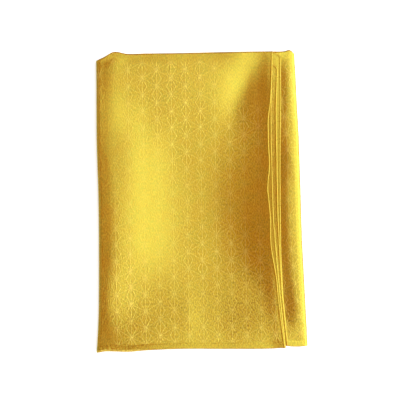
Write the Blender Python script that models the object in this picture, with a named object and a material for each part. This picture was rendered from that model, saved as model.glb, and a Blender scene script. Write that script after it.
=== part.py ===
"""A furoshiki, the square wrapping cloth, folded into a flat packet.

The cloth is halved twice along its height, so that the strip is four plies thick, and the strip is then
turned over and over itself into six panels. One solid holds the whole packet: each of its layers is the
four pressed plies, and the layers lie a little apart. X runs across the packet, Y up it and Z through it.
"""

import math
from collections import namedtuple

import bmesh
import bpy
import numpy as np

MM = 0.001

# Driving sizes, in metres.
CLOTH_SIDE = 1.050
PLIES = 4
PACKET_LENGTH = CLOTH_SIDE / PLIES
LAYER = 0.0012
EDGE_LAYER = 0.0016
LOOSE_LENGTH = 0.012
LOOSE_SHARES = (0.5, 1.0)
STEP_RUN = 0.0002
LEAST_STEP = 0.0006
INNER_END_GAP = 0.006
FOLD_ROUNDING = 0.0005
FOLD_THINNING = 0.5
SHARP_EDGE = 35

# The packet's sides, and the free edge of each ply of the top panel, in millimetres from the middle.
# A row stands at a height above the packet's lower edge.
Side = namedtuple("Side", "up left right ply_1 ply_2 ply_3 ply_4")
SIDES = (
    Side(0, -91.8, 92.6, 73.2, 73.9, 74.7, 75.8),
    Side(13, -91.0, 92.1, 71.5, 72.4, 73.8, 74.8),
    Side(35, -90.0, 90.9, 68.6, 69.8, 71.2, 72.6),
    Side(61, -89.8, 89.6, 65.9, 67.6, 69.8, 71.1),
    Side(92, -89.8, 88.0, 61.3, 64.8, 68.6, 69.9),
    Side(140, -90.4, 86.5, 59.2, 62.4, 66.5, 69.2),
    Side(184, -91.8, 85.1, 58.7, 61.7, 66.0, 69.0),
    Side(215, -92.1, 83.6, 60.0, 61.6, 65.8, 69.3),
    Side(240, -92.2, 82.6, 61.9, 62.0, 66.2, 69.6),
    Side(260, -92.4, 81.8, 62.2, 62.1, 66.5, 69.2),
)

# The upper and lower edge of the cloth, in millimetres, at each place across the packet.
End = namedtuple("End", "across top bottom")
ENDS = (
    End(-92.5, 251.4, -4.0),
    End(-86, 254.2, -2.4),
    End(-78.5, 259.0, -1.9),
    End(-66, 257.6, -2.1),
    End(-50, 257.9, -1.0),
    End(-20, 258.5, 0.0),
    End(20, 258.9, 0.0),
    End(60, 259.8, 0.1),
    End(72, 260.2, 1.0),
    End(77, 261.0, 0.6),
    End(82, 257.6, 0.2),
    End(93, 256.8, 0.6),
)

# The packet's height in millimetres, at shares of the way from the left roll to the right one.
Height = namedtuple("Height", "up left_roll crown slope middle hollow rise free_edge right_roll")
SHARES = (0.0, 0.18, 0.36, 0.50, 0.65, 0.80, 0.92, 1.0)
HEIGHTS = (
    Height(0, 9.4, 9.8, 9.6, 9.6, 9.8, 9.9, 9.8, 9.8),
    Height(50, 9.8, 11.6, 10.6, 9.9, 9.6, 10.4, 11.2, 10.8),
    Height(120, 10.0, 12.2, 10.8, 9.8, 9.2, 10.8, 12.4, 11.2),
    Height(190, 10.0, 12.0, 10.6, 9.8, 9.2, 10.6, 12.2, 11.0),
    Height(235, 9.8, 10.8, 10.2, 10.2, 9.8, 9.8, 11.0, 10.6),
    Height(260, 9.0, 9.2, 9.2, 9.3, 9.3, 9.2, 9.3, 9.6),
)

# The panels from the inner end outwards: where each lies in the stack, which way it faces,
# and how far its upper and lower edges are drawn in, in millimetres.
Panel = namedtuple("Panel", "level faces drawn_top drawn_bottom")
PANELS = (
    Panel(2, -1, 3.2, 3.6),
    Panel(3, 1, 2.6, 3.0),
    Panel(1, -1, 2.0, 2.8),
    Panel(4, 1, 0.0, 2.0),
    Panel(0, -1, 0.8, 1.5),
    Panel(5, 1, 0.0, 0.0),
)

# The folds between them, in millimetres: the side that each turns on, and how far its nose reaches.
Fold = namedtuple("Fold", "side reach")
FOLDS = (
    Fold(-1, 0.9),
    Fold(1, 3.4),
    Fold(-1, 4.6),
    Fold(1, 7.5),
    Fold(-1, 7.0),
)

PANEL_STEPS = 9
FOLD_STEPS = 8
LAST_PANEL_STEPS = 11
LENGTH_STEPS = 18

CLOTH_COLOUR = (0.72, 0.47, 0.05, 1.0)
CLOTH_ROUGHNESS = 0.45


def smooth(at, knots, values):
    """A smooth curve through a table's values, which stays level past its two ends."""
    knots, values = np.asarray(knots, float), np.asarray(values, float)
    slopes = np.gradient(values, knots)
    at = np.clip(at, knots[0], knots[-1])
    i = np.clip(np.searchsorted(knots, at, side="right") - 1, 0, len(knots) - 2)
    step = knots[i + 1] - knots[i]
    s = (at - knots[i]) / step
    return (
        (1 + 2 * s) * (1 - s) ** 2 * values[i]
        + s * (1 - s) ** 2 * step * slopes[i]
        + s * s * (3 - 2 * s) * values[i + 1]
        - s * s * (1 - s) * step * slopes[i + 1]
    )


def column(rows, name):
    return [getattr(row, name) for row in rows]


def side_at(name, up):
    """A column of SIDES at a height above the lower edge, in metres."""
    return float(smooth(up / MM, column(SIDES, "up"), column(SIDES, name))) * MM


def ply_edges(up):
    """Where the four plies of the top panel end, each at least a step past the one above it."""
    edges = [side_at(f"ply_{ply}", up) for ply in range(1, PLIES + 1)]
    for above in range(PLIES - 1):
        edges[above + 1] = max(edges[above + 1], edges[above] + LEAST_STEP)
    return edges


def roll_middles(up):
    """The places across the packet where its left and right rolls start."""
    left = side_at("left", up) + FOLDS[-1].reach * MM + LAYER / 2
    right = side_at("right", up) - FOLDS[-2].reach * MM - LAYER / 2
    return left, right


def packet_height(across, up):
    left, right = roll_middles(up)
    share = (across - left) / (right - left)
    rows = [smooth(share, SHARES, row[1:]) for row in HEIGHTS]
    return float(smooth(up / MM, column(HEIGHTS, "up"), rows)) * MM


def level_height(level, across, up):
    """The middle height of the layer at a level of the stack. The lowest layer lies flat."""
    pitch = (packet_height(across, up) - LAYER) / (len(PANELS) - 1)
    return LAYER / 2 + level * pitch


def flat_stretch(panel, start, end, up, steps):
    """Points along a panel: across, height, the outward direction and the two drawn-in edges."""
    for share in np.linspace(0, 1, steps + 1):
        across = start + share * (end - start)
        height = level_height(panel.level, across, up)
        yield across, height, (0, panel.faces), panel.drawn_top, panel.drawn_bottom, LAYER


def fold_stretch(fold, before, after, middle, up):
    """Points round a fold, a half oval from one panel's level to the next one's, without its two ends."""
    start = level_height(before.level, middle, up)
    end = level_height(after.level, middle, up)
    centre, rise = (start + end) / 2, (start - end) / 2
    reach = fold.reach * MM
    for turn in np.linspace(0, math.pi, FOLD_STEPS + 1)[1:-1]:
        across = middle + fold.side * reach * math.sin(turn)
        height = centre + rise * math.cos(turn)
        out = (fold.side * math.sin(turn) / reach, math.cos(turn) * before.faces / abs(rise))
        size = math.hypot(*out)
        share = turn / math.pi
        drawn_top = before.drawn_top + share * (after.drawn_top - before.drawn_top)
        drawn_bottom = before.drawn_bottom + share * (after.drawn_bottom - before.drawn_bottom)
        yield across, height, (out[0] / size, out[1] / size), drawn_top, drawn_bottom, LAYER


def stepped_end(panel, start, up):
    """The top panel's last stretch, where its four plies loosen and end one short of the next."""
    edges = ply_edges(up)
    ply = EDGE_LAYER / PLIES
    for share in LOOSE_SHARES:
        across = start + share * (edges[0] - start)
        thick = LAYER + share * (EDGE_LAYER - LAYER)
        height = level_height(panel.level, across, up) + (thick - LAYER) / 2
        yield across, height, (0, panel.faces), panel.drawn_top, panel.drawn_bottom, thick
    for left, edge in zip(range(PLIES - 1, 0, -1), edges[1:], strict=True):
        for across in (edges[PLIES - 1 - left] + STEP_RUN, edge):
            thick = left * ply
            height = level_height(panel.level, across, up) + (thick - LAYER) / 2
            yield across, height, (0, panel.faces), panel.drawn_top, panel.drawn_bottom, thick


def strip_points(up):
    """Every point of the strip at one height of the packet, from its inner end to its free edge."""
    left, right = roll_middles(up)
    for number, panel in enumerate(PANELS):
        rightwards = panel.faces > 0
        start, end = (left, right) if rightwards else (right, left)
        if number == 0:
            start -= INNER_END_GAP
        if number < len(PANELS) - 1:
            yield from flat_stretch(panel, start, end, up, PANEL_STEPS)
            fold = FOLDS[number]
            yield from fold_stretch(fold, panel, PANELS[number + 1], end, up)
        else:
            end = ply_edges(up)[0] - LOOSE_LENGTH
            yield from flat_stretch(panel, start, end, up, LAST_PANEL_STEPS)
            yield from stepped_end(panel, end, up)


def station_shares():
    """The places up the packet where the strip is drawn, with a pair close together at the folded top."""
    return [*np.linspace(0, 1 - FOLD_ROUNDING / PACKET_LENGTH, LENGTH_STEPS + 1), 1.0]


def strip_skins(share):
    """The outer and the inner skin of the strip at one station, as two lists of points."""
    up = share * SIDES[-1].up * MM
    outer, inner = [], []
    for across, height, out, drawn_top, drawn_bottom, thick in strip_points(up):
        ends = column(ENDS, "across")
        top = float(smooth(across / MM, ends, column(ENDS, "top"))) - drawn_top
        bottom = float(smooth(across / MM, ends, column(ENDS, "bottom"))) + drawn_bottom
        along = (bottom + share * (top - bottom)) * MM
        half = thick / 2 * (FOLD_THINNING if share == 1.0 else 1.0)
        outer.append((across + out[0] * half, along, height + out[1] * half))
        inner.append((across - out[0] * half, along, height - out[1] * half))
    return outer, inner


def cloth_mesh():
    """The closed sheet: an outer and an inner skin joined round the rim, centred on the origin."""
    bm = bmesh.new()
    skins = [strip_skins(share) for share in station_shares()]
    grid = [[[bm.verts.new(p) for p in skin] for skin in pair] for pair in skins]
    for near, far in zip(grid[:-1], grid[1:], strict=True):
        for side in (0, 1):
            for i in range(len(near[side]) - 1):
                quad = near[side][i], near[side][i + 1], far[side][i + 1], far[side][i]
                bm.faces.new(quad)
        for i in (0, -1):
            bm.faces.new((near[0][i], far[0][i], far[1][i], near[1][i]))
    for outer, inner in (grid[0], grid[-1]):
        for i in range(len(outer) - 1):
            bm.faces.new((outer[i], outer[i + 1], inner[i + 1], inner[i]))
    bmesh.ops.recalc_face_normals(bm, faces=bm.faces)
    places = np.array([v.co for v in bm.verts])
    middle = (places.min(axis=0) + places.max(axis=0)) / 2
    bmesh.ops.translate(bm, verts=bm.verts, vec=(-middle[0], -middle[1], 0))
    mesh = bpy.data.meshes.new("folded_cloth")
    bm.to_mesh(mesh)
    bm.free()
    return mesh


def cloth_material():
    material = bpy.data.materials.new("gold_satin")
    material.use_nodes = True
    shader = material.node_tree.nodes["Principled BSDF"]
    shader.inputs["Base Color"].default_value = CLOTH_COLOUR
    shader.inputs["Roughness"].default_value = CLOTH_ROUGHNESS
    shader.inputs["Metallic"].default_value = 0.0
    return material


def main():
    for old in list(bpy.data.objects):
        bpy.data.objects.remove(old)
    mesh = cloth_mesh()
    mesh.shade_smooth()
    mesh.set_sharp_from_angle(angle=math.radians(SHARP_EDGE))
    cloth = bpy.data.objects.new("folded_cloth", mesh)
    cloth.data.materials.append(cloth_material())
    bpy.context.scene.collection.objects.link(cloth)


main()
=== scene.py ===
"""The looks of a furoshiki folded flat.

It is one square of gold jacquard satin, halved twice and then turned into six panels. The cloth is one thin
sheet. Its points are worked out on the flat square, and each is placed in the packet by the folds that it
lies in: first round the folds that halve the cloth, then along the strip's six panels and five turns.
"""

import math
from collections import namedtuple

import bpy
import numpy as np
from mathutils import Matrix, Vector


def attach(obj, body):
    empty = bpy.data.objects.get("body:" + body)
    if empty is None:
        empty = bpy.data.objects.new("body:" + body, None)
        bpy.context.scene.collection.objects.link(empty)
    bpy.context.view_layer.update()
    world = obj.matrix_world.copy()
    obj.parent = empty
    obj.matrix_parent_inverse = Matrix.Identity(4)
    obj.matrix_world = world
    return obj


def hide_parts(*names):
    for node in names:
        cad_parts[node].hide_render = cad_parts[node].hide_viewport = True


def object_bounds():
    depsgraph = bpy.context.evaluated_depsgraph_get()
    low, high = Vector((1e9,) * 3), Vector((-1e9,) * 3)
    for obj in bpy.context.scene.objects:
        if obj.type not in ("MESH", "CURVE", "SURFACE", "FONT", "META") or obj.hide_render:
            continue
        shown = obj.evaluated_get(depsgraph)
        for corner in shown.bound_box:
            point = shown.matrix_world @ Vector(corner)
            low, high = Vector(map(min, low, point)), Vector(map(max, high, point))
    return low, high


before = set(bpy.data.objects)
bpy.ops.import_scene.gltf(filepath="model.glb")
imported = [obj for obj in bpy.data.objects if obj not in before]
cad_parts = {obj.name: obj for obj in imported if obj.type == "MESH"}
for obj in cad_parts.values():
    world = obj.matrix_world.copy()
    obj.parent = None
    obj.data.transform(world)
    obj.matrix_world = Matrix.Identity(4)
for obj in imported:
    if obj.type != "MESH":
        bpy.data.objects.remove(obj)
SOLID_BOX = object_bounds()

bl_info = {
    "name": "Folded Furoshiki",
    "version": (1, 0, 0),
    "blender": (4, 5, 0),
    "location": "3D View > Sidebar > Furoshiki",
    "description": "Makes a furoshiki folded flat, with its woven figure, hems and selvedges",
    "category": "Add Mesh",
}

MM = 0.001
BODY = "root"
NODE = "folded_cloth"

# The lengths from here to the hemp leaf's are in millimetres. Across is measured to the right from the
# packet's middle, and up from its lower edge.

# The packet as the solid has it: the height that the tables are measured along, and its layers.
PACKET_UP = 260.0
LAYER = 1.2
PLIES = 4
PLY = LAYER / PLIES

# Near the free edge a layer loosens to this, over this length.
EDGE_LAYER = 1.6
LOOSE_LENGTH = 12.0

# The packet's two sides at each height up it, and how far the right roll swells beside the free edge.
Side = namedtuple("Side", "up left right swell")
SIDES = (
    Side(0, -92.6, 92.4, -0.15),
    Side(8, -92.2, 92.1, 0.0),
    Side(17, -91.7, 91.7, 0.4),
    Side(30, -91.1, 91.0, 1.4),
    Side(61, -90.7, 89.4, 1.3),
    Side(92, -90.7, 87.8, 1.1),
    Side(140, -91.2, 86.3, 0.85),
    Side(165, -92.0, 85.5, 1.1),
    Side(184, -92.6, 84.9, 0.75),
    Side(215, -92.9, 83.2, 0.6),
    Side(240, -93.0, 82.0, 0.6),
    Side(260, -93.2, 81.0, -0.1),
)

# The free edge of each ply of the top panel, which wavers.
Edge = namedtuple("Edge", "up ply_1 ply_2 ply_3 ply_4")
EDGES = (
    Edge(0, 72.7, 73.4, 74.9, 75.4),
    Edge(13, 70.9, 71.9, 73.9, 74.4),
    Edge(35, 68.0, 69.3, 71.3, 71.7),
    Edge(50, 66.5, 68.2, 70.2, 70.7),
    Edge(61, 65.5, 67.3, 69.5, 70.1),
    Edge(76, 62.8, 65.8, 68.5, 69.5),
    Edge(87, 61.0, 64.6, 67.9, 69.1),
    Edge(97, 60.2, 63.8, 67.4, 69.1),
    Edge(113, 60.1, 62.7, 66.8, 69.0),
    Edge(122, 59.4, 61.9, 66.2, 68.6),
    Edge(131, 58.5, 61.4, 66.0, 68.2),
    Edge(139, 57.7, 61.3, 65.9, 68.2),
    Edge(148, 58.1, 61.5, 65.9, 68.2),
    Edge(157, 59.1, 61.7, 66.0, 68.4),
    Edge(165, 59.2, 61.7, 66.0, 68.5),
    Edge(174, 58.5, 61.2, 65.9, 68.5),
    Edge(184, 58.2, 60.6, 65.3, 68.6),
    Edge(202, 58.2, 60.5, 65.0, 68.8),
    Edge(215, 59.8, 60.7, 65.1, 69.2),
    Edge(228, 60.8, 61.0, 65.6, 69.2),
    Edge(240, 61.3, 61.4, 66.0, 68.9),
    Edge(260, 61.6, 61.6, 66.1, 69.0),
)

# The upper and lower edge of the cloth at each place across the packet.
End = namedtuple("End", "across top bottom")
ENDS = (
    End(-92.5, 252.6, -4.2),
    End(-86, 255.4, -2.6),
    End(-78.5, 259.7, -2.5),
    End(-66, 258.2, -2.9),
    End(-50, 258.5, -1.6),
    End(-20, 258.9, -0.3),
    End(20, 259.8, -0.3),
    End(60, 260.4, 0.0),
    End(72, 260.6, 0.5),
    End(77, 261.7, -0.1),
    End(82, 258.0, -0.4),
    End(93, 256.8, 0.4),
)

# The packet's thickness, at shares of the way from the left roll to the right one.
Height = namedtuple(
    "Height", "up left_roll left_edge crown brow slope foot hollow bank rise shoulder free_edge right_roll"
)
SHARES = (0.0, 0.037, 0.071, 0.147, 0.247, 0.352, 0.498, 0.614, 0.724, 0.818, 0.918, 1.0)
HEIGHTS = (
    Height(0, 9.42, 9.5, 9.6, 9.9, 10.05, 9.95, 9.78, 9.76, 9.95, 10.08, 10.12, 10.0),
    Height(20, 9.13, 9.33, 9.43, 9.52, 9.7, 9.88, 9.84, 10.1, 10.93, 11.72, 12.36, 12.5),
    Height(52, 10.42, 10.55, 10.43, 9.71, 9.2, 9.08, 9.07, 9.44, 10.17, 11.02, 12.15, 12.5),
    Height(83, 10.5, 10.7, 10.7, 10.1, 8.97, 8.08, 7.9, 8.28, 9.45, 11.3, 12.85, 13.25),
    Height(130, 11.16, 11.3, 11.25, 10.75, 9.6, 8.65, 8.36, 8.83, 10.07, 11.58, 12.89, 13.3),
    Height(178, 11.15, 11.2, 11.1, 10.75, 9.69, 8.82, 8.65, 8.91, 9.68, 10.9, 12.2, 12.6),
    Height(209, 11.02, 10.94, 10.75, 10.11, 9.32, 9.09, 8.9, 9.03, 9.33, 10.3, 11.6, 11.9),
    Height(225, 10.62, 10.5, 10.33, 9.88, 9.5, 9.3, 9.15, 9.02, 8.98, 9.45, 10.4, 10.6),
    Height(240, 10.06, 10.08, 9.99, 9.68, 9.4, 9.25, 9.1, 9.0, 8.87, 9.07, 9.52, 9.62),
    Height(260, 9.4, 9.45, 9.4, 9.2, 9.0, 8.9, 8.8, 9.0, 9.5, 9.62, 9.64, 9.45),
)

# The panels from the inner end outwards: the level of each in the stack, the way it faces, how far its upper
# and lower ends are drawn in, how many steps it has across, and how closely they bunch at its far end.
Panel = namedtuple("Panel", "level faces drawn_top drawn_bottom steps bunch")
PANELS = (
    Panel(2, -1, 3.2, 3.6, 9, 1.0),
    Panel(3, 1, 2.6, 3.0, 9, 1.0),
    Panel(1, -1, 2.0, 2.8, 9, 1.0),
    Panel(4, 1, 0.0, 2.0, 26, 2.0),
    Panel(0, -1, 0.8, 1.5, 14, 1.0),
    Panel(5, 1, 0.0, 0.0, 84, 1.0),
)

# How far the strip's inner end stops short of its roll, and about how far its first points lie from that end.
INNER_END_GAP = 6.0
FROM_INNER_END = (0.0, 20.0, 40.0, 60.0, 80.0, 100.0)

# The turns between the panels: the side of each, how far its nose reaches, its steps, how full its shoulders
# are, where an oval's are 2, and how far its upper part overhangs its foot. The steps bunch towards its ends.
Turn = namedtuple("Turn", "side reach steps fullness overhang")
TURNS = (
    Turn(-1, 0.6, 6, 2.0, 0.0),
    Turn(1, 3.0, 6, 2.0, 0.0),
    Turn(-1, 2.0, 6, 2.0, 0.0),
    Turn(1, 5.0, 18, 2.5, 2.6),
    Turn(-1, 3.2, 18, 3.6, 1.6),
)
TURN_BUNCH = 0.8

# The level of the stack where the right roll swells the most, how steeply the swell starts beside the free
# edge, and how fast it grows from level to level.
ROLL_LEVEL = 4
SWELL_START = 2.6
SWELL_GROWTH = 1.5

# Soft spots on the top of the packet: where each lies, how far it reaches to each side and along itself, how
# far it leans to the right of upright, in degrees, and how much of it there is.
Spot = namedtuple("Spot", "across up wide long lean amount")

# Ridges, with their heights. A trough's is below nothing.
CREASES = (
    Spot(-12, 30, 8, 20, 0, 0.2),
    Spot(37, 230, 12, 30, 25, -0.65),
    Spot(75, 40, 5, 20, -8, -0.5),
    Spot(72, 6, 7, 9, 0, 0.2),
    Spot(79, 162, 4, 9, 0, 0.2),
    Spot(80.5, 12, 5, 10, 0, 0.2),
    Spot(-83, 38, 7, 14, 0, 0.2),
    Spot(61, 60, 9, 22, -8, 0.45),
)

# Where the satin lies so that its woven figure shows less, or with an amount below nothing, more.
FAINT = (
    Spot(-48, 130, 26, 75, -5, 0.8),
    Spot(52, 138, 30, 95, 0, 0.9),
    Spot(4, 135, 30, 60, 0, 0.6),
    Spot(38, 238, 28, 28, 0, 0.8),
    Spot(-84, 150, 9, 120, 0, 0.8),
    Spot(12, 36, 56, 28, 0, 0.5),
    Spot(-80, 215, 16, 45, 0, 0.6),
    Spot(86, 120, 12, 110, 0, 0.3),
    Spot(-64, 48, 15, 34, 0, -0.5),
    Spot(-95, 50, 10, 70, 0, 1.2),
    Spot(-83, 10, 17, 20, 0, 0.7),
    Spot(-62, 25, 7, 7, 0, 0.5),
)

# Where the weave looks coarser.
COARSE = (
    Spot(24, 28, 70, 34, 0, 0.85),
    Spot(-62, 40, 26, 34, 0, 0.4),
    Spot(-22, 232, 40, 26, 0, 0.5),
    Spot(90, 60, 12, 90, 0, 0.5),
)

# The plies from the face inwards, with their places in a layer, in plies: the cloth runs up the first, down
# the fourth, up the third and down the second. Each ends this far above the packet's lower edge.
Ply = namedtuple("Ply", "place lift")
PLY_1, PLY_2, PLY_3, PLY_4 = Ply(1.5, 0.0), Ply(0.5, 0.5), Ply(-0.5, 2.4), Ply(-1.5, 2.4)

# A change over a way along or across the cloth: where it starts, and its length. A length below nothing runs
# to the left.
Fade = namedtuple("Fade", "start length")

# How far the inner fold lies below the upper edge, on the left and near the free edge, and how it sinks.
INNER_FOLD_DROP = 7.5
INNER_FOLD_DROP_AT_EDGE = 10.6
INNER_FOLD_SINKS = Fade(20.0, 50.0)

# Where the two plies of a fold come apart, the edges slant over this length.
EDGE_SLANT = 5.0

# From a little below the inner fold the outer two plies come together, at this place in the layer: a share of
# the way on the right, more on the left, and less again at the left side.
PINCHED_PLACE = -0.35
PINCH_BELOW = 3.0
PINCH_LENGTH = 7.0
PINCH_SHARE = 0.35
PINCH_MORE = 0.35
PINCH_TO_LEFT = Fade(-20.0, -40.0)
PINCH_FROM_SIDE = Fade(-92.0, 16.0)

# The hem's inner edge steps down over this width. The selvedge is thickest near the free edge, which curls in
# over this length, and both edges of the sheet are rounded to these shares of its thickness.
HEM_STEP = 0.5
SELVEDGE_BULGE = 0.6
CURL = 0.16
CURL_LENGTH = 0.8
FREE_EDGE_SHARE = 0.45
HEM_EDGE_SHARE = 0.5

# How the figure comes in from the hem and the free edge, how much it goes above the inner fold, and the most
# that the faint spots take from it.
FIGURE_FROM_HEM = Fade(5.0, 1.5)
FIGURE_FROM_EDGE = Fade(2.0, 2.0)
FIGURE_LOST_AT_TOP = 0.8
FIGURE_TOP_BELOW = 1.0
FIGURE_TOP_LENGTH = 2.5
FAINTEST = 0.9

# The hem is puckered, and has a painted highlight along its edge on the left. How far both reach from the
# hem's edge.
PUCKER_TO_LEFT = Fade(-42.0, -20.0)
PUCKER_FROM_HEM = Fade(3.0, 3.5)
PAINTED_HIGHLIGHT_FROM_HEM = Fade(0.8, 1.6)

# How the cloth is divided along its plies and near its edges, measured from the hem or the free edge.
STITCH_LINE = 4.1
HEM_STEPS = (0.0, 0.12, 0.4, 1.2, 2.2, 3.2, STITCH_LINE, 4.6, 4.85, 5.1, 5.8, 7.4)
INNER_HEM_STEPS = HEM_STEPS[:8]
RIM_STEPS = (12.0, 8.0, 5.5, 3.6, 2.6, 1.9, 1.4, 1.0, 0.7, 0.45, 0.2, 0.0)
FACE_STEP = 2.1
TOP_STEP = 0.9
TOP_REACH = 15.0
INNER_PLY_SHARES = (
    0.0, 0.004, 0.008, 0.013, 0.02, 0.03, 0.05, 0.09, 0.16, 0.27, 0.4, 0.54, 0.68, 0.82, 0.93, 1.0
)
PLY_FOLD_STEPS = 6

# A distance from the hem or the free edge that is out of its reach.
FAR = 99.0

# The hemp leaf: its spokes, where their soft edges start and end, in half line widths, how strong they are
# and about what share of that the level ones have. Its bright middle's reach, in star pitches, and strength.
SPOKES = 12
SPOKE_START, SPOKE_END = 1.5, 0.5
SPOKE_STRENGTH = 0.85
LEVEL_SPOKE_SHARE = 0.2
MIDDLE_REACH = 0.2
MIDDLE_STRENGTH = 1.05

# How fine the satin's and the thread's noises are, in waves a metre, and how two of them are stretched.
WANDER_SCALE = 900.0
FLOAT_SCALE = 2600.0
GRAIN_SCALE = 850.0
CLOUD_SCALE = 70.0
FIBRE_SCALE = 3000.0
FLOAT_STRETCH = {"across": 0.22, "up": 1.0}
GRAIN_STRETCH = {"across": 1.5, "up": 0.6}

# How much of the grain and the figure the cloth's back loses, and what they and it add to the roughness.
BACK_GRAIN_LOSS = 0.8
BACK_FIGURE_LOSS = 0.7
BACK_ROUGHNESS = 0.12
GRAIN_ROUGHNESS = 0.24
THREAD_ROUGHNESS = 0.35
FIBRE_ROUGHNESS = 0.3
FLOOR_ROUGHNESS = 0.9

# How far the figure's lines wander, the relief of each part of the weave, and the puckers' pitch, in metres.
# The puckers wander by radians.
LINE_WANDER = 0.0003
FIGURE_RELIEF = 0.00006
FLOAT_RELIEF = 0.00007
GRAIN_RELIEF = 0.00008
FIGURE_GRAIN_RELIEF = 0.00014
COARSE_GRAIN_RELIEF = 0.00004
PUCKER_RELIEF = 0.00003
PUCKER_PITCH = 0.0033
PUCKER_WANDER = 22.0
RELIEF_STRENGTH = 0.7

# Tints of the ground: its clouds and its grains. The colour of the painted highlight on the hem's edge, how
# much paler the thread's fibres are, the colour of its shine, and how strongly the satin and the thread
# reflect.
WARM_CLOUD = (1.06, 0.95, 0.8)
COOL_CLOUD = (0.92, 1.02, 1.2)
PALE_GRAIN = (1.6, 1.6, 1.6)
PALE_GRAIN_SHARE = 0.8
DEEP_GRAIN = (0.6, 0.34, 0.2)
PAINTED_HEM_HIGHLIGHT = (0.8, 0.52, 0.1)
PALE_FIBRE = 1.35
THREAD_SHINE = (1.0, 0.88, 0.3)
SATIN_IOR = 2.5
THREAD_IOR = 2.2

# The soft boxes, in metres: how far each leans to the right of overhead, in degrees, its distance and sides.
Lamp = namedtuple("Lamp", "lean distance sides")
UPPER_LIGHT = Lamp(22.8, 3.0, (2.55, 3.0))
LOW_LIGHT = Lamp(69.0, 2.5, (1.9, 2.4))
LEFT_LIGHT = Lamp(-48.0, 2.5, (2.5, 2.4))

# The floor's reach, how far it lies below the cloth, the point that the camera hangs over, and how far the
# camera sees, in metres. Its sensor is in millimetres.
FLOOR_REACH = 4.0
FLOOR_DROP = 0.0002
CAMERA_OVER = (-0.0016, 0.0011)
CAMERA_REACH = 20.0
SENSOR = 36.0


class CoverSettings(bpy.types.PropertyGroup):
    """Sizes and colours of the cloth."""

    side: bpy.props.FloatProperty(
        name="Side", description="Side of the flat square", default=1.05, unit="LENGTH"
    )
    thickness: bpy.props.FloatProperty(
        name="Thickness", description="Thickness of the cloth", default=0.00025, unit="LENGTH"
    )
    hem_depth: bpy.props.FloatProperty(
        name="Hem depth", description="Depth of the turned hem", default=0.0048, unit="LENGTH"
    )
    hem_extra: bpy.props.FloatProperty(
        name="Hem extra", description="Thickness that the hem adds", default=0.00014, unit="LENGTH"
    )
    bead_width: bpy.props.FloatProperty(
        name="Selvedge width", description="Width of the thick selvedge", default=0.0013, unit="LENGTH"
    )
    bead_extra: bpy.props.FloatProperty(
        name="Selvedge extra", description="Thickness that the selvedge adds", default=0.00022, unit="LENGTH"
    )
    star_pitch: bpy.props.FloatProperty(
        name="Star pitch", description="Distance between the hemp-leaf stars", default=0.0146, unit="LENGTH"
    )
    star_across: bpy.props.FloatProperty(
        name="Star across", description="Where a star lies across the top panel",
        default=-0.0637, unit="LENGTH",
    )
    star_up: bpy.props.FloatProperty(
        name="Star up", description="Where a star lies up the top panel", default=0.2312, unit="LENGTH"
    )
    line_width: bpy.props.FloatProperty(
        name="Line width", description="Width of the figure's lines", default=0.0007, unit="LENGTH"
    )
    grain_lean: bpy.props.FloatProperty(
        name="Grain lean", description="How far the weave leans from the left fold, in degrees",
        default=0.9, min=-5, max=5,
    )
    ground: bpy.props.FloatVectorProperty(
        name="Ground", description="Colour of the satin ground",
        default=(0.317, 0.114, 0.0046), size=3, subtype="COLOR",
    )
    figure: bpy.props.FloatVectorProperty(
        name="Figure", description="Colour of the figure's lines",
        default=(0.60, 0.27, 0.066), size=3, subtype="COLOR",
    )
    shine: bpy.props.FloatVectorProperty(
        name="Shine", description="Colour of the satin's shine",
        default=(0.88, 1.0, 0.135), size=3, subtype="COLOR",
    )
    ground_roughness: bpy.props.FloatProperty(
        name="Ground roughness", description="Roughness of the ground", default=0.16, min=0, max=1
    )
    figure_roughness: bpy.props.FloatProperty(
        name="Figure roughness", description="Roughness of the figure's lines", default=0.28, min=0, max=1
    )
    figure_tilt: bpy.props.FloatProperty(
        name="Figure tilt", description="How far the figure's floats lean from the ground's",
        default=0.035, min=0, max=1,
    )


class SeamSettings(bpy.types.PropertyGroup):
    """Sizes and colour of the hem's stitches and the selvedge's weft turns."""

    stitch_pitch: bpy.props.FloatProperty(
        name="Stitch pitch", description="Distance from stitch to stitch", default=0.0030, unit="LENGTH"
    )
    stitch_length: bpy.props.FloatProperty(
        name="Stitch length", description="Length of a stitch that shows", default=0.0023, unit="LENGTH"
    )
    thread: bpy.props.FloatProperty(
        name="Thread", description="Diameter of the sewing thread", default=0.00016, unit="LENGTH"
    )
    turn_pitch: bpy.props.FloatProperty(
        name="Weft turn pitch", description="Distance between weft turns", default=0.0006, unit="LENGTH"
    )
    turn_size: bpy.props.FloatProperty(
        name="Weft turn size", description="Length of a weft turn", default=0.0011, unit="LENGTH"
    )
    weft: bpy.props.FloatProperty(
        name="Weft", description="Diameter of the weft where it turns", default=0.00008, unit="LENGTH"
    )
    colour: bpy.props.FloatVectorProperty(
        name="Thread colour", description="Colour of the thread",
        default=(0.48, 0.25, 0.015), size=3, subtype="COLOR",
    )


class StudioSettings(bpy.types.PropertyGroup):
    """The floor, the lights and the camera."""

    floor: bpy.props.FloatVectorProperty(
        name="Floor", description="Colour of the floor", default=(0.95, 0.95, 0.95), size=3, subtype="COLOR"
    )
    glow: bpy.props.FloatProperty(name="Glow", description="How much the floor glows", default=0.56, min=0)
    key: bpy.props.FloatProperty(
        name="Key", description="Power of the upper light", default=87.0, unit="POWER"
    )
    side: bpy.props.FloatProperty(
        name="Side", description="Power of the low light", default=76.0, unit="POWER"
    )
    fill: bpy.props.FloatProperty(
        name="Fill", description="Power of the left light", default=11.0, unit="POWER"
    )
    sky: bpy.props.FloatProperty(name="Sky", description="Brightness of the even light", default=0.10, min=0)
    lens: bpy.props.FloatProperty(name="Lens", description="The camera's lens in millimetres", default=200.0)
    view_width: bpy.props.FloatProperty(
        name="View width", description="Width that the camera sees at the cloth", default=0.350, unit="LENGTH"
    )


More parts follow.
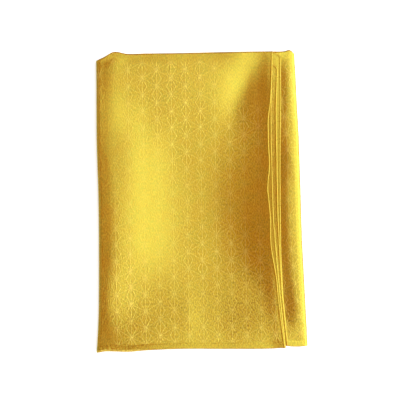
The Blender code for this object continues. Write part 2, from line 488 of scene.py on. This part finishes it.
class Wire:
    """A node's output. Arithmetic on it adds Math nodes to its tree."""

    def __init__(self, tree, socket):
        self.tree, self.socket = tree, socket

    def math(self, operation, *values):
        return self.tree.node("ShaderNodeMath", {"operation": operation}, dict(enumerate(values)))

    def __add__(self, other):
        return self.math("ADD", self, other)

    def __sub__(self, other):
        return self.math("SUBTRACT", self, other)

    def __rsub__(self, other):
        return self.math("SUBTRACT", other, self)

    def __mul__(self, other):
        return self.math("MULTIPLY", self, other)

    def __truediv__(self, other):
        return self.math("DIVIDE", self, other)

    __radd__ = __add__


class Tree:
    """A node tree, with a method that adds a node and a few for the nodes that are used most."""

    def __init__(self, tree):
        self.tree = tree

    def node(self, kind, settings=None, values=None, out=0):
        """Adds a node: its settings, then its sockets' values or links. Returns the wire of one output."""
        node = self.tree.nodes.new(kind)
        for name, value in (settings or {}).items():
            setattr(node, name, value)
        for key, value in (values or {}).items():
            socket = self.find(node.inputs, key)
            if isinstance(value, Wire):
                self.tree.links.new(value.socket, socket)
            else:
                socket.default_value = value
        return Wire(self, self.find(node.outputs, out))

    @staticmethod
    def find(sockets, key):
        if isinstance(key, int):
            return sockets[key]
        return next(s for s in sockets if key in (s.identifier, s.name))

    def ramp(self, at, start, end, low=0.0, high=1.0):
        """A smooth step from low to high, as at goes from start to end."""
        values = {"Value": at, "From Min": start, "From Max": end, "To Min": low, "To Max": high}
        return self.node("ShaderNodeMapRange", {"interpolation_type": "SMOOTHSTEP"}, values, "Result")

    def mix(self, factor, first, second):
        values = {"Factor_Float": factor, "A_Color": first, "B_Color": second}
        return self.node("ShaderNodeMix", {"data_type": "RGBA"}, values, "Result_Color")

    def noise(self, at, scale, detail=2.0):
        return self.node("ShaderNodeTexNoise", None, {"Vector": at, "Scale": scale, "Detail": detail}, "Fac")


def ease(share):
    """A smooth step from 0 to 1."""
    share = np.clip(share, 0.0, 1.0)
    return share * share * (3 - 2 * share)


def fade(at, change):
    """How much of a change is done at each place, from 0 to 1."""
    return ease((at - change.start) / change.length)


def smooth(at, knots, values):
    """A smooth curve through values, along their last axis, which stays level past its two ends."""
    knots, values = np.asarray(knots, float), np.asarray(values, float)
    slopes = np.gradient(values, knots, axis=-1)
    at = np.clip(at, knots[0], knots[-1])
    i = np.clip(np.searchsorted(knots, at, side="right") - 1, 0, len(knots) - 2)
    step = knots[i + 1] - knots[i]
    s = (at - knots[i]) / step

    def pick(table, k):
        return np.take_along_axis(np.broadcast_to(table, at.shape[:-1] + table.shape[-1:]), k, axis=-1)

    return (
        (1 + 2 * s) * (1 - s) ** 2 * pick(values, i)
        + s * (1 - s) ** 2 * step * pick(slopes, i)
        + s * s * (3 - 2 * s) * pick(values, i + 1)
        - s * s * (1 - s) * step * pick(slopes, i + 1)
    )


def column(rows, name):
    """One column of a table, as a list."""
    return [getattr(row, name) for row in rows]


def table_at(table, name, at):
    """A column of a table as a smooth curve over its first column."""
    return smooth(at, [row[0] for row in table], column(table, name))


def roll_middles(up):
    """The places across the packet where its left and right rolls start."""
    left = table_at(SIDES, "left", up) + TURNS[-1].reach + LAYER / 2
    right = table_at(SIDES, "right", up) - TURNS[-2].reach - LAYER / 2
    return left, right


def spots(table, across, up):
    """How much of a table's soft spots there is at each place."""
    total = np.zeros(np.broadcast(across, up).shape)
    for spot in table:
        lean = math.radians(spot.lean)
        right, high = across - spot.across, up - spot.up
        beside = right * math.cos(lean) - high * math.sin(lean)
        along = right * math.sin(lean) + high * math.cos(lean)
        total += spot.amount * np.exp(-((beside / spot.wide) ** 2) - (along / spot.long) ** 2)
    return total


def packet_height(across, up):
    """The packet's thickness at each place, without its creases."""
    left, right = roll_middles(up)
    ups = column(HEIGHTS, "up")
    columns = [smooth(up, ups, values) for values in list(zip(*HEIGHTS, strict=True))[1:]]
    return smooth((across - left) / (right - left), SHARES, np.concatenate(columns, axis=-1))


def level_height(level, across, up):
    """The middle height of a layer. The lowest lies flat, and the right roll swells beside the free edge."""
    height = packet_height(across, up) + spots(CREASES, across, up)
    pitch = (height - LAYER) / (len(PANELS) - 1)
    right = roll_middles(up)[1]
    edge = table_at(EDGES, "ply_4", up)
    share = np.clip((across - edge) / (right - edge), 0, 1)
    swell = (1 - (1 - share) ** SWELL_START) * table_at(SIDES, "swell", up)
    swell = swell * min(level / ROLL_LEVEL, 1.0) ** SWELL_GROWTH
    return LAYER / 2 + level * pitch + (swell if level <= ROLL_LEVEL else 0.0)


def strip_path(up, ply_edge):
    """The strip's middle line at each height up the packet, from its inner end to its free edge.

    up and ply_edge have a row for each line across the cloth. Returns the place across, the height, the
    outward direction's two parts, and how far the upper and the lower end are drawn in.
    """
    left, right = roll_middles(up)
    parts = []
    for number, panel in enumerate(PANELS):
        rightwards = panel.faces > 0
        start, end = (left, right) if rightwards else (right, left)
        if number == 0:
            start = start - INNER_END_GAP
        if number < len(PANELS) - 1:
            shares = 1 - np.linspace(1, 0, panel.steps + 1) ** panel.bunch
            across = start + shares * (end - start)
        else:
            rim = np.array(RIM_STEPS)
            shares = np.linspace(0, 1, panel.steps + 1)[:-1]
            across = np.concatenate([start + shares * (ply_edge - rim[0] - start), ply_edge - rim], axis=1)
        height = level_height(panel.level, across, up)
        still = np.ones_like(across)
        parts.append((across, height, 0 * still, panel.faces * still, panel.drawn_top * still,
                      panel.drawn_bottom * still))
        if number < len(PANELS) - 1:
            parts.append(turn_path(TURNS[number], panel, PANELS[number + 1], end, up))
    return [np.concatenate(rows, axis=1) for rows in zip(*parts, strict=True)]


def turn_path(turn, before, after, middle, up):
    """The strip's middle line round a turn, a full half oval that carries on its two panels' slopes."""
    start = level_height(before.level, middle, up)
    end = level_height(after.level, middle, up)
    start_slope = (start - level_height(before.level, middle - turn.side, up)) * turn.side
    end_slope = (end - level_height(after.level, middle - turn.side, up)) * turn.side
    centre, rise = (start + end) / 2, (start - end) / 2
    share = np.linspace(0, 1, turn.steps + 1)[1:-1]
    angle = math.pi * share - TURN_BUNCH * np.sin(2 * math.pi * share) / 2
    reach = np.sin(angle) ** (2 / turn.fullness)
    above_foot = np.cos(angle) / 2 * (1 if before.level > after.level else -1)
    across = middle + turn.side * (turn.reach + turn.overhang * above_foot) * reach
    slope = start_slope + angle / math.pi * (end_slope - start_slope)
    height = centre + rise * np.cos(angle) + slope * (across - middle)
    out_across = turn.side * turn.fullness / 2 * reach ** (turn.fullness - 1) / turn.reach + 0 * height
    out_up = np.cos(angle) * before.faces / np.abs(rise)
    size = np.hypot(out_across, out_up)
    share = angle / math.pi + 0 * height
    drawn_top = before.drawn_top + share * (after.drawn_top - before.drawn_top)
    drawn_bottom = before.drawn_bottom + share * (after.drawn_bottom - before.drawn_bottom)
    return across, height, out_across / size, out_up / size, drawn_top, drawn_bottom


# One line across the cloth: its place among the plies, its share of the way up, how far a fold's nose takes
# it on, the way its face points, the ply that it ends with, whether that is one of the outer two, and its
# distance from the hem.
Line = namedtuple("Line", "place share nose face ply top_ply hem")


def cloth_lines():
    """Every line across the cloth from the first hem to the second, up and down the plies."""
    face_ups = list(HEM_STEPS)
    face_ups += list(np.arange(HEM_STEPS[-1] + FACE_STEP, PACKET_UP - TOP_REACH, FACE_STEP))
    face_ups += list(np.linspace(PACKET_UP - TOP_REACH, PACKET_UP, round(TOP_REACH / TOP_STEP) + 1))
    angles = np.linspace(0, math.pi, PLY_FOLD_STEPS + 1)[1:-1]
    lines = [Line(PLY_1.place, up / PACKET_UP, 0.0, 0.0, PLY_1, True, up) for up in face_ups]
    lines += fold_lines(PINCHED_PLACE, PLY_4.place, 1.0, angles, angles, PLY_4)
    lines += [Line(PLY_4.place, 1 - s, 0.0, math.pi, PLY_4, True, FAR) for s in INNER_PLY_SHARES]
    lines += fold_lines(PLY_4.place, PLY_3.place, 0.0, angles, math.pi + angles, PLY_3)
    lines += [Line(PLY_3.place, 1 - s, 0.0, 0.0, PLY_3, False, FAR) for s in reversed(INNER_PLY_SHARES)]
    lines += fold_lines(PLY_3.place, PLY_2.place, 1.0, angles, -angles, PLY_2)
    inner_ups = [1 - s for s in INNER_PLY_SHARES[:-1]]
    inner_ups += [up / PACKET_UP for up in reversed(INNER_HEM_STEPS)]
    lines += [Line(PLY_2.place, s, 0.0, math.pi, PLY_2, False, s * PACKET_UP) for s in inner_ups]
    return lines


def fold_lines(start, end, share, angles, faces, ply):
    """The lines round a fold that halves the cloth, from one ply's place to the next one's."""
    centre, rise = (start + end) / 2, (start - end) / 2
    way = 1 if share == 1.0 else -1
    for angle, face in zip(angles, faces, strict=True):
        nose = way * abs(rise) * PLY * math.sin(angle)
        place = centre + rise * math.cos(angle)
        yield Line(place, share, nose, face, ply, ply is PLY_4, FAR)


def ply_edges(lines, up):
    """Where each line across the cloth ends at the right. A fold's two plies end at one place on the fold."""
    first, second, third, fourth = (table_at(EDGES, name, up) for name in Edge._fields[1:])
    below_top = ease((PACKET_UP - up) / EDGE_SLANT)
    below_inner = ease((PACKET_UP - INNER_FOLD_DROP_AT_EDGE - up) / EDGE_SLANT)
    above_fold = ease((up - PLY_4.lift) / EDGE_SLANT)
    by_ply = {
        PLY_1: first,
        PLY_2: second,
        PLY_3: fourth + above_fold * (second + below_inner * (third - second) - fourth),
        PLY_4: first + below_top * (fourth - first),
    }
    return np.array([by_ply[line.ply][i] for i, line in enumerate(lines)])


def cloth_points(cover):
    """The two skins of the cloth, and at each point its place in the weave and the strength of each look."""
    lines = cloth_lines()
    share = np.array(column(lines, "share"))[:, None]
    place = np.array(column(lines, "place"))[:, None]
    nose = np.array(column(lines, "nose"))[:, None]
    face = np.array(column(lines, "face"))[:, None]
    hem = np.array(column(lines, "hem"))[:, None]
    lift = np.array([line.ply.lift for line in lines])[:, None]
    outer = np.array(column(lines, "top_ply"))[:, None]
    first = np.array([line.ply is PLY_1 for line in lines])[:, None]

    up = lift + share * (PACKET_UP - lift - np.where(outer, 0.0, INNER_FOLD_DROP_AT_EDGE))
    edge = ply_edges(lines, up)
    across, height, out_across, out_up, drawn_top, drawn_bottom = strip_path(up, edge)

    top = table_at(ENDS, "top", across) - drawn_top
    bottom = table_at(ENDS, "bottom", across) + drawn_bottom
    drop = INNER_FOLD_DROP + (INNER_FOLD_DROP_AT_EDGE - INNER_FOLD_DROP) * fade(across, INNER_FOLD_SINKS)
    low = bottom + lift
    high = top - np.where(outer, 0.0, drop)
    along = low + share * (high - low) + nose

    # Near the free edge the plies loosen, and above the inner fold the outer two come together.
    last = np.arange(across.shape[1]) >= across.shape[1] - len(RIM_STEPS)
    rim = np.where(last, edge - across, FAR)
    rim[:, :len(FROM_INNER_END)] = np.minimum(rim[:, :len(FROM_INNER_END)], FROM_INNER_END)
    loose = 1 + (EDGE_LAYER / LAYER - 1) * (1 - ease(rim / LOOSE_LENGTH))
    pinch = ease((along - (top - drop - PINCH_BELOW)) / PINCH_LENGTH) * first
    pinch = pinch * (PINCH_SHARE + PINCH_MORE * fade(across, PINCH_TO_LEFT)) * fade(across, PINCH_FROM_SIDE)
    ply_place = place + pinch * (PINCHED_PLACE - place)
    offset = ((ply_place - PLY_4.place) * loose + PLY_4.place) * PLY

    # The hem is turned in, and the selvedge is a firm bead.
    thickness, bead = cover.thickness / MM, cover.bead_width / MM
    hem_share = 1 - ease((hem - cover.hem_depth / MM + HEM_STEP / 2) / HEM_STEP)
    bead_share = np.where(rim < bead, np.sin(math.pi * np.clip(rim / bead, 0, 1) ** SELVEDGE_BULGE), 0.0)
    extra = hem_share * cover.hem_extra / MM * first + bead_share * cover.bead_extra / MM
    curl = CURL * np.clip(1 - rim / CURL_LENGTH, 0, 1) ** 2
    offset = offset + hem_share * first * cover.hem_extra / MM / 2 - curl
    free_edge = np.where(rim < RIM_STEPS[-2] / 2, FREE_EDGE_SHARE, 1.0)
    hem_edge = np.where(hem < HEM_STEPS[1] / 2, HEM_EDGE_SHARE, 1.0)
    half = (thickness + extra) * (free_edge * hem_edge) / 2

    skins = []
    for way in (1, -1):
        reach = offset + way * half * np.cos(face)
        x = across + out_across * reach
        y = along + way * half * np.sin(face)
        z = height + out_up * reach
        skins.append(np.stack([x, y, np.maximum(z, 0.0)], axis=-1))
    middle = (skins[0][..., :2].max(axis=(0, 1)) + skins[0][..., :2].min(axis=(0, 1))) / 2
    for skin in skins:
        skin[..., :2] -= middle
        skin *= MM

    steps = np.hypot(np.diff(across), np.diff(height))
    length = np.concatenate([np.zeros_like(up), np.cumsum(steps, axis=1)], axis=1)
    top_start = across.shape[1] - len(RIM_STEPS) - PANELS[-1].steps
    weave_across = length - length[:, top_start:top_start + 1] + across[:, top_start:top_start + 1]
    weave_across = weave_across + math.tan(math.radians(cover.grain_lean)) * (up - PACKET_UP / 2)
    steps = np.hypot(np.diff(share[:, 0]) * PACKET_UP, np.diff(nose[:, 0]) + np.diff(place[:, 0]) * PLY)
    weave_along = np.concatenate([[0.0], np.cumsum(steps)])[:, None] + 0 * across
    weave = np.stack([weave_across, weave_along], axis=-1) * MM

    upper = ease((along - top + drop + FIGURE_TOP_BELOW) / FIGURE_TOP_LENGTH) * first
    figure = fade(hem, FIGURE_FROM_HEM) * fade(rim, FIGURE_FROM_EDGE) * (1 - FIGURE_LOST_AT_TOP * upper)
    figure = figure * (1 - np.minimum(spots(FAINT, across, up), FAINTEST))
    pucker = fade(across, PUCKER_TO_LEFT) * (1 - fade(hem, PUCKER_FROM_HEM)) * first
    # Painted highlight: a paler colour along the hem's edge on the left, where light catches it.
    fringe = fade(across, PUCKER_TO_LEFT) * (1 - fade(hem, PAINTED_HIGHLIGHT_FROM_HEM)) * first
    looks = {"figure": figure, "pucker": pucker, "fringe": fringe, "coarse": spots(COARSE, across, up)}
    return skins, weave, looks


def cloth_mesh(cover):
    """The sheet as one closed mesh, with its weave's coordinates and the strengths of its looks."""
    skins, weave, looks = cloth_points(cover)
    rows, columns = skins[0].shape[:2]
    count = rows * columns
    number = np.arange(count).reshape(rows, columns)
    a, b = number[:-1, :-1], number[:-1, 1:]
    c, d = number[1:, 1:], number[1:, :-1]
    face_side = np.stack([a, b, c, d], axis=-1).reshape(-1, 4)
    back_side = face_side[:, ::-1] + count
    ring = np.concatenate([number[0, :-1], number[:-1, -1], number[-1, :0:-1], number[:0:-1, 0]])
    after = np.roll(ring, -1)
    rim = np.stack([after, ring, ring + count, after + count], axis=-1)
    faces = np.concatenate([face_side, back_side, rim])

    mesh = bpy.data.meshes.new("furoshiki_cloth")
    points = np.concatenate([skin.reshape(-1, 3) for skin in skins])
    mesh.from_pydata(points.tolist(), [], faces.tolist())
    corners = faces.reshape(-1)
    flat = np.concatenate([weave.reshape(-1, 2)] * 2)
    mesh.uv_layers.new(name="weave").data.foreach_set("uv", flat[corners].astype(np.float32).reshape(-1))
    looks = {name: np.tile(values.ravel(), 2) for name, values in looks.items()}
    looks["back"] = np.repeat([0.0, 1.0], count)
    for name, values in looks.items():
        mesh.attributes.new(name, "FLOAT", "POINT").data.foreach_set("value", values.astype(np.float32))
    mesh.update()
    mesh.shade_smooth()
    return mesh


def hemp_leaf(tree, across, up, pitch, half_line):
    """How much the hemp-leaf figure shows: stars in a net of triangles, each with spokes to its neighbours.

    The spokes that run up the cloth show the most, and they join in a bright middle.
    """
    spacing = pitch * math.sqrt(3) / 2
    places = []
    for right, high in ((0.0, 0.0), (spacing, pitch / 2)):
        x = across.math("WRAP", across - right, spacing, -spacing)
        y = up.math("WRAP", up - high, pitch / 2, -pitch / 2)
        places.append((x, y, x * x + y * y))
    (x, y, near), (other_x, other_y, far) = places
    own = near.math("LESS_THAN", near, far)
    x = other_x + (x - other_x) * own
    y = other_y + (y - other_y) * own
    from_star = near.math("SQRT", near.math("MINIMUM", near, far))
    angle = x.math("ARCTAN2", x, y)
    from_spoke = from_star * angle.math("PINGPONG", angle, math.pi / SPOKES)
    upright = y.math("ABSOLUTE", y) / (from_star + half_line / 100)
    spokes = tree.ramp(from_spoke, half_line * SPOKE_START, half_line * SPOKE_END)
    spokes = spokes * tree.ramp(upright, -0.2, 1.0, low=LEVEL_SPOKE_SHARE)
    middle = tree.ramp(from_star, pitch * MIDDLE_REACH, 0.0, high=MIDDLE_STRENGTH)
    return spokes.math("MAXIMUM", spokes * SPOKE_STRENGTH, middle)


def opaque(colour, tint=1.0):
    """A tinted colour as a socket takes it."""
    return tuple(np.multiply(colour, tint)) + (1,)


def cloth_material(cover):
    """Jacquard satin: a shiny ground, a duller and paler figure, a fine weave in both, and a painted
    highlight on the hem's edge.
    """
    material = bpy.data.materials.new("gold_jacquard_satin")
    material.use_nodes = True
    tree = Tree(material.node_tree)
    shader = material.node_tree.nodes["Principled BSDF"]
    weave = tree.node("ShaderNodeUVMap", {"uv_map": "weave"})
    across = tree.node("ShaderNodeSeparateXYZ", values={"Vector": weave}, out="X")
    up = Wire(tree, across.socket.node.outputs["Y"])
    wander = tree.noise(weave, WANDER_SCALE)
    across_star = across - cover.star_across + (wander - 0.5) * LINE_WANDER
    up_star = up - cover.star_up + (wander - 0.5) * LINE_WANDER
    clear, back, pucker, coarse, fringe = (
        tree.node("ShaderNodeAttribute", {"attribute_name": name}, out="Fac")
        for name in ("figure", "back", "pucker", "coarse", "fringe")
    )
    lines = hemp_leaf(tree, across_star, up_star, cover.star_pitch, cover.line_width / 2)

    floats, grain = (
        tree.node("ShaderNodeCombineXYZ", values={"X": across * stretch["across"], "Y": up * stretch["up"]})
        for stretch in (FLOAT_STRETCH, GRAIN_STRETCH)
    )
    floats = tree.noise(floats, FLOAT_SCALE, 1.0)
    grain = 0.5 + (tree.noise(grain, GRAIN_SCALE) - 0.5) * (1 - back * BACK_GRAIN_LOSS)
    cloud = tree.noise(weave, CLOUD_SCALE)
    figure = lines * clear * tree.ramp(grain, 0.36, 0.64, low=0.5, high=1.1) * (1 - back * BACK_FIGURE_LOSS)

    warm, cool = opaque(cover.ground, WARM_CLOUD), opaque(cover.ground, COOL_CLOUD)
    colour = tree.mix(tree.ramp(cloud, 0.35, 0.65), warm, cool)
    pale_grain = tree.ramp(grain, 0.40, 0.62) * PALE_GRAIN_SHARE
    colour = tree.mix(pale_grain, colour, opaque(cover.ground, PALE_GRAIN))
    colour = tree.mix(coarse * tree.ramp(grain, 0.54, 0.34), colour, opaque(cover.ground, DEEP_GRAIN))
    colour = tree.mix(figure, colour, opaque(cover.figure))
    # The painted highlight on the hem's edge on the left, broken up by the grain.
    colour = tree.mix(fringe * tree.ramp(grain, 0.38, 0.6, low=0.45), colour, opaque(PAINTED_HEM_HIGHLIGHT))
    rough = cover.ground_roughness + (grain - 0.5) * GRAIN_ROUGHNESS
    rough = rough + figure * (cover.figure_roughness - cover.ground_roughness) + back * BACK_ROUGHNESS
    gathers = across * (2 * math.pi / PUCKER_PITCH) + cloud * PUCKER_WANDER
    gathers = gathers.math("SINE", gathers)
    grain_relief = GRAIN_RELIEF + clear * FIGURE_GRAIN_RELIEF + coarse * COARSE_GRAIN_RELIEF
    relief = figure * FIGURE_RELIEF + floats * FLOAT_RELIEF + grain * grain_relief
    relief = relief + gathers * pucker * PUCKER_RELIEF
    bump = tree.node(
        "ShaderNodeBump",
        values={"Height": relief, "Strength": RELIEF_STRENGTH, "Distance": 1.0},
        out="Normal",
    )
    tangent = tree.node("ShaderNodeTangent", {"direction_type": "UV_MAP", "uv_map": "weave"})
    lean = figure * cover.figure_tilt
    lean = tree.node("ShaderNodeVectorMath", {"operation": "SCALE"}, {0: tangent, "Scale": lean})
    leant = tree.node("ShaderNodeVectorMath", {"operation": "ADD"}, {0: bump, 1: lean})
    normal = tree.node("ShaderNodeVectorMath", {"operation": "NORMALIZE"}, {0: leant})

    link = material.node_tree.links.new
    link(colour.socket, shader.inputs["Base Color"])
    link(rough.socket, shader.inputs["Roughness"])
    link(normal.socket, shader.inputs["Normal"])
    shader.inputs["IOR"].default_value = SATIN_IOR
    shader.inputs["Specular Tint"].default_value = opaque(cover.shine)
    return material


def thread_material(seam):
    """The thread of the hem and the selvedge, with paler fibres."""
    material = bpy.data.materials.new("gold_thread")
    material.use_nodes = True
    tree = Tree(material.node_tree)
    shader = material.node_tree.nodes["Principled BSDF"]
    place = tree.node("ShaderNodeTexCoord", out="Object")
    fibre = tree.noise(place, FIBRE_SCALE)
    colour = tree.mix(fibre, opaque(seam.colour), opaque(seam.colour, PALE_FIBRE))
    rough = THREAD_ROUGHNESS + fibre * FIBRE_ROUGHNESS
    material.node_tree.links.new(colour.socket, shader.inputs["Base Color"])
    material.node_tree.links.new(rough.socket, shader.inputs["Roughness"])
    shader.inputs["IOR"].default_value = THREAD_IOR
    shader.inputs["Specular Tint"].default_value = opaque(THREAD_SHINE)
    return material


def bead_row_tree():
    """Places a small oval bead at each step along a guide line, its length along the line."""
    group = bpy.data.node_groups.new("bead_row", "GeometryNodeTree")
    group.interface.new_socket("Guide", in_out="INPUT", socket_type="NodeSocketGeometry")
    for name in ("Pitch", "Length", "Thickness"):
        socket = group.interface.new_socket(name, in_out="INPUT", socket_type="NodeSocketFloat")
        socket.subtype = "DISTANCE"
    group.interface.new_socket("Material", in_out="INPUT", socket_type="NodeSocketMaterial")
    group.interface.new_socket("Beads", in_out="OUTPUT", socket_type="NodeSocketGeometry")
    tree = Tree(group)
    inputs = group.nodes.new("NodeGroupInput")
    names = ("Guide", "Pitch", "Length", "Thickness", "Material")
    given = {name: Wire(tree, inputs.outputs[name]) for name in names}
    curve = tree.node("GeometryNodeMeshToCurve", values={"Mesh": given["Guide"]}, out="Curve")
    even = tree.node(
        "GeometryNodeResampleCurve", {"mode": "LENGTH"}, {"Curve": curve, "Length": given["Pitch"]}
    )
    bead = tree.node(
        "GeometryNodeMeshUVSphere", values={"Segments": 6, "Rings": 4, "Radius": 0.5}, out="Mesh"
    )
    size = tree.node(
        "ShaderNodeCombineXYZ",
        values={"X": given["Length"], "Y": given["Thickness"], "Z": given["Thickness"]},
    )
    outward = tree.node(
        "GeometryNodeInputNamedAttribute", {"data_type": "FLOAT_VECTOR"}, {"Name": "outward"}, "Attribute"
    )
    tangent = tree.node("GeometryNodeInputTangent")
    stand = tree.node("FunctionNodeAlignRotationToVector", {"axis": "Z"}, {"Vector": outward})
    turned = tree.node(
        "FunctionNodeAlignRotationToVector",
        {"axis": "X", "pivot_axis": "Z"},
        {"Rotation": stand, "Vector": tangent},
    )
    placed = tree.node(
        "GeometryNodeInstanceOnPoints",
        values={"Points": even, "Instance": bead, "Rotation": turned, "Scale": size},
    )
    real = tree.node("GeometryNodeRealizeInstances", values={"Geometry": placed})
    done = tree.node("GeometryNodeSetMaterial", values={"Geometry": real, "Material": given["Material"]})
    output = group.nodes.new("NodeGroupOutput")
    group.links.new(done.socket, output.inputs["Beads"])
    return group


def bead_row(name, points, outward, sizes, material):
    """A piece of beads along a guide line, which has the outward direction at each of its points."""
    guide = bpy.data.meshes.new(f"{name}_guide")
    guide.from_pydata(points.tolist(), [(i, i + 1) for i in range(len(points) - 1)], [])
    directions = guide.attributes.new("outward", "FLOAT_VECTOR", "POINT").data
    directions.foreach_set("vector", outward.astype(np.float32).reshape(-1))
    holder = bpy.data.objects.new(f"{name}_guide", guide)
    bpy.context.scene.collection.objects.link(holder)
    modifier = holder.modifiers.new("beads", "NODES")
    modifier.node_group = bead_row_tree()
    items = modifier.node_group.interface.items_tree
    given = {item.name: item.identifier for item in items if item.in_out == "INPUT"}
    for key, value in {**sizes, "Material": material}.items():
        modifier[given[key]] = value
    depsgraph = bpy.context.evaluated_depsgraph_get()
    mesh = bpy.data.meshes.new_from_object(holder.evaluated_get(depsgraph))
    mesh.name = name
    bpy.data.objects.remove(holder)
    return add_piece(name, mesh)


def add_piece(name, mesh):
    """A visible piece, which rides on the body."""
    mesh.shade_smooth()
    piece = bpy.data.objects.new(name, mesh)
    bpy.context.scene.collection.objects.link(piece)
    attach(piece, BODY)
    return piece


class FUROSHIKI_OT_cloth(bpy.types.Operator):
    """Make the folded cloth, with its hems, its selvedges and its woven figure"""

    bl_idname = "furoshiki.cloth"
    bl_label = "Cloth"

    def execute(self, context):
        cover = context.scene.furoshiki_cover
        mesh = cloth_mesh(cover)
        mesh.materials.append(cloth_material(cover))
        cloth = add_piece("furoshiki_cloth", mesh)
        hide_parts(NODE)
        return {"FINISHED"}


class FUROSHIKI_OT_seams(bpy.types.Operator):
    """Sew the hem, and set the weft's turns along the selvedge"""

    bl_idname = "furoshiki.seams"
    bl_label = "Seams"

    def execute(self, context):
        cover, seam = context.scene.furoshiki_cover, context.scene.furoshiki_seam
        skins, _, _ = cloth_points(cover)
        outward = skins[0] - skins[1]
        outward /= np.linalg.norm(outward, axis=-1, keepdims=True)
        thread = thread_material(seam)
        row = HEM_STEPS.index(STITCH_LINE)
        above_floor = np.maximum(skins[0][row], [-math.inf, -math.inf, seam.thread / 2])
        stitches = {"Pitch": seam.stitch_pitch, "Length": seam.stitch_length, "Thickness": seam.thread}
        sewn = bead_row("hem_stitches", above_floor, outward[row], stitches, thread)
        middle = (skins[0][:, -1] + skins[1][:, -1]) / 2
        turns = {"Pitch": seam.turn_pitch, "Length": seam.turn_size, "Thickness": seam.weft}
        woven = bead_row("selvedge_turns", middle, outward[:, -1], turns, thread)
        return {"FINISHED"}


class FUROSHIKI_OT_studio(bpy.types.Operator):
    """Set the floor, the lights and the camera"""

    bl_idname = "furoshiki.studio"
    bl_label = "Studio"

    def execute(self, context):
        studio, scene = context.scene.furoshiki_studio, context.scene
        floor = bpy.data.meshes.new("floor")
        corners = [(-1, -1), (1, -1), (1, 1), (-1, 1)]
        floor.from_pydata([(x * FLOOR_REACH, y * FLOOR_REACH, 0) for x, y in corners], [], [(0, 1, 2, 3)])
        floor.materials.append(floor_material(studio))
        ground = bpy.data.objects.new("floor", floor)
        ground.location.z = -FLOOR_DROP
        scene.collection.objects.link(ground)
        add_lights(scene, studio)
        add_camera(scene, studio)
        return {"FINISHED"}


def floor_material(studio):
    """A pale floor that glows a little."""
    material = bpy.data.materials.new("pale_floor")
    material.use_nodes = True
    shader = material.node_tree.nodes["Principled BSDF"]
    shader.inputs["Base Color"].default_value = opaque(studio.floor)
    shader.inputs["Roughness"].default_value = FLOOR_ROUGHNESS
    shader.inputs["Emission Color"].default_value = (1.0, 1.0, 1.0, 1.0)
    shader.inputs["Emission Strength"].default_value = studio.glow
    return material


def add_lights(scene, studio):
    """An even light from all sides, and three soft boxes."""
    world = bpy.data.worlds.new("even_light")
    world.use_nodes = True
    sky = world.node_tree.nodes["Background"]
    sky.inputs["Color"].default_value = (1.0, 1.0, 1.0, 1.0)
    sky.inputs["Strength"].default_value = studio.sky
    scene.world = world
    add_area(scene, "upper_light", UPPER_LIGHT, studio.key)
    add_area(scene, "low_light", LOW_LIGHT, studio.side)
    add_area(scene, "left_light", LEFT_LIGHT, studio.fill)


def add_area(scene, name, lamp, power):
    """A soft box that faces the cloth. The camera doesn't see it."""
    light = bpy.data.lights.new(name, "AREA")
    light.shape = "RECTANGLE"
    light.size, light.size_y = lamp.sides
    light.energy = power
    box = bpy.data.objects.new(name, light)
    lean = math.radians(lamp.lean)
    box.location = (lamp.distance * math.sin(lean), 0.0, lamp.distance * math.cos(lean))
    box.rotation_euler = (0.0, lean, 0.0)
    box.visible_camera = False
    scene.collection.objects.link(box)


def add_camera(scene, studio):
    """A camera straight above the cloth, and plain colours in its picture."""
    camera = bpy.data.cameras.new("camera")
    camera.lens = studio.lens
    camera.sensor_width = SENSOR
    camera.clip_end = CAMERA_REACH
    height = SOLID_BOX[1][2] + studio.view_width * studio.lens / SENSOR
    eye = bpy.data.objects.new("camera", camera)
    eye.location = (*CAMERA_OVER, height)
    scene.collection.objects.link(eye)
    scene.camera = eye
    scene.view_settings.view_transform = "Standard"


class FUROSHIKI_PT_panel(bpy.types.Panel):
    """The furoshiki's pieces and their sizes"""

    bl_idname = "FUROSHIKI_PT_panel"
    bl_label = "Furoshiki"
    bl_space_type = "VIEW_3D"
    bl_region_type = "UI"
    bl_category = "Furoshiki"

    def draw(self, context):
        for settings, operator in STEPS:
            box = self.layout.box()
            group = getattr(context.scene, settings)
            for name in group.__annotations__:
                box.prop(group, name)
            box.operator(operator)


STEPS = (
    ("furoshiki_cover", "furoshiki.cloth"),
    ("furoshiki_seam", "furoshiki.seams"),
    ("furoshiki_studio", "furoshiki.studio"),
)
CLASSES = (
    CoverSettings,
    SeamSettings,
    StudioSettings,
    FUROSHIKI_OT_cloth,
    FUROSHIKI_OT_seams,
    FUROSHIKI_OT_studio,
    FUROSHIKI_PT_panel,
)


def register():
    for one in CLASSES:
        bpy.utils.register_class(one)
    bpy.types.Scene.furoshiki_cover = bpy.props.PointerProperty(type=CoverSettings)
    bpy.types.Scene.furoshiki_seam = bpy.props.PointerProperty(type=SeamSettings)
    bpy.types.Scene.furoshiki_studio = bpy.props.PointerProperty(type=StudioSettings)


def unregister():
    del bpy.types.Scene.furoshiki_studio
    del bpy.types.Scene.furoshiki_seam
    del bpy.types.Scene.furoshiki_cover
    for one in reversed(CLASSES):
        bpy.utils.unregister_class(one)


def main():
    register()
    bpy.ops.furoshiki.cloth()
    bpy.ops.furoshiki.seams()
    bpy.ops.furoshiki.studio()


if __name__ == "__main__":
    main()
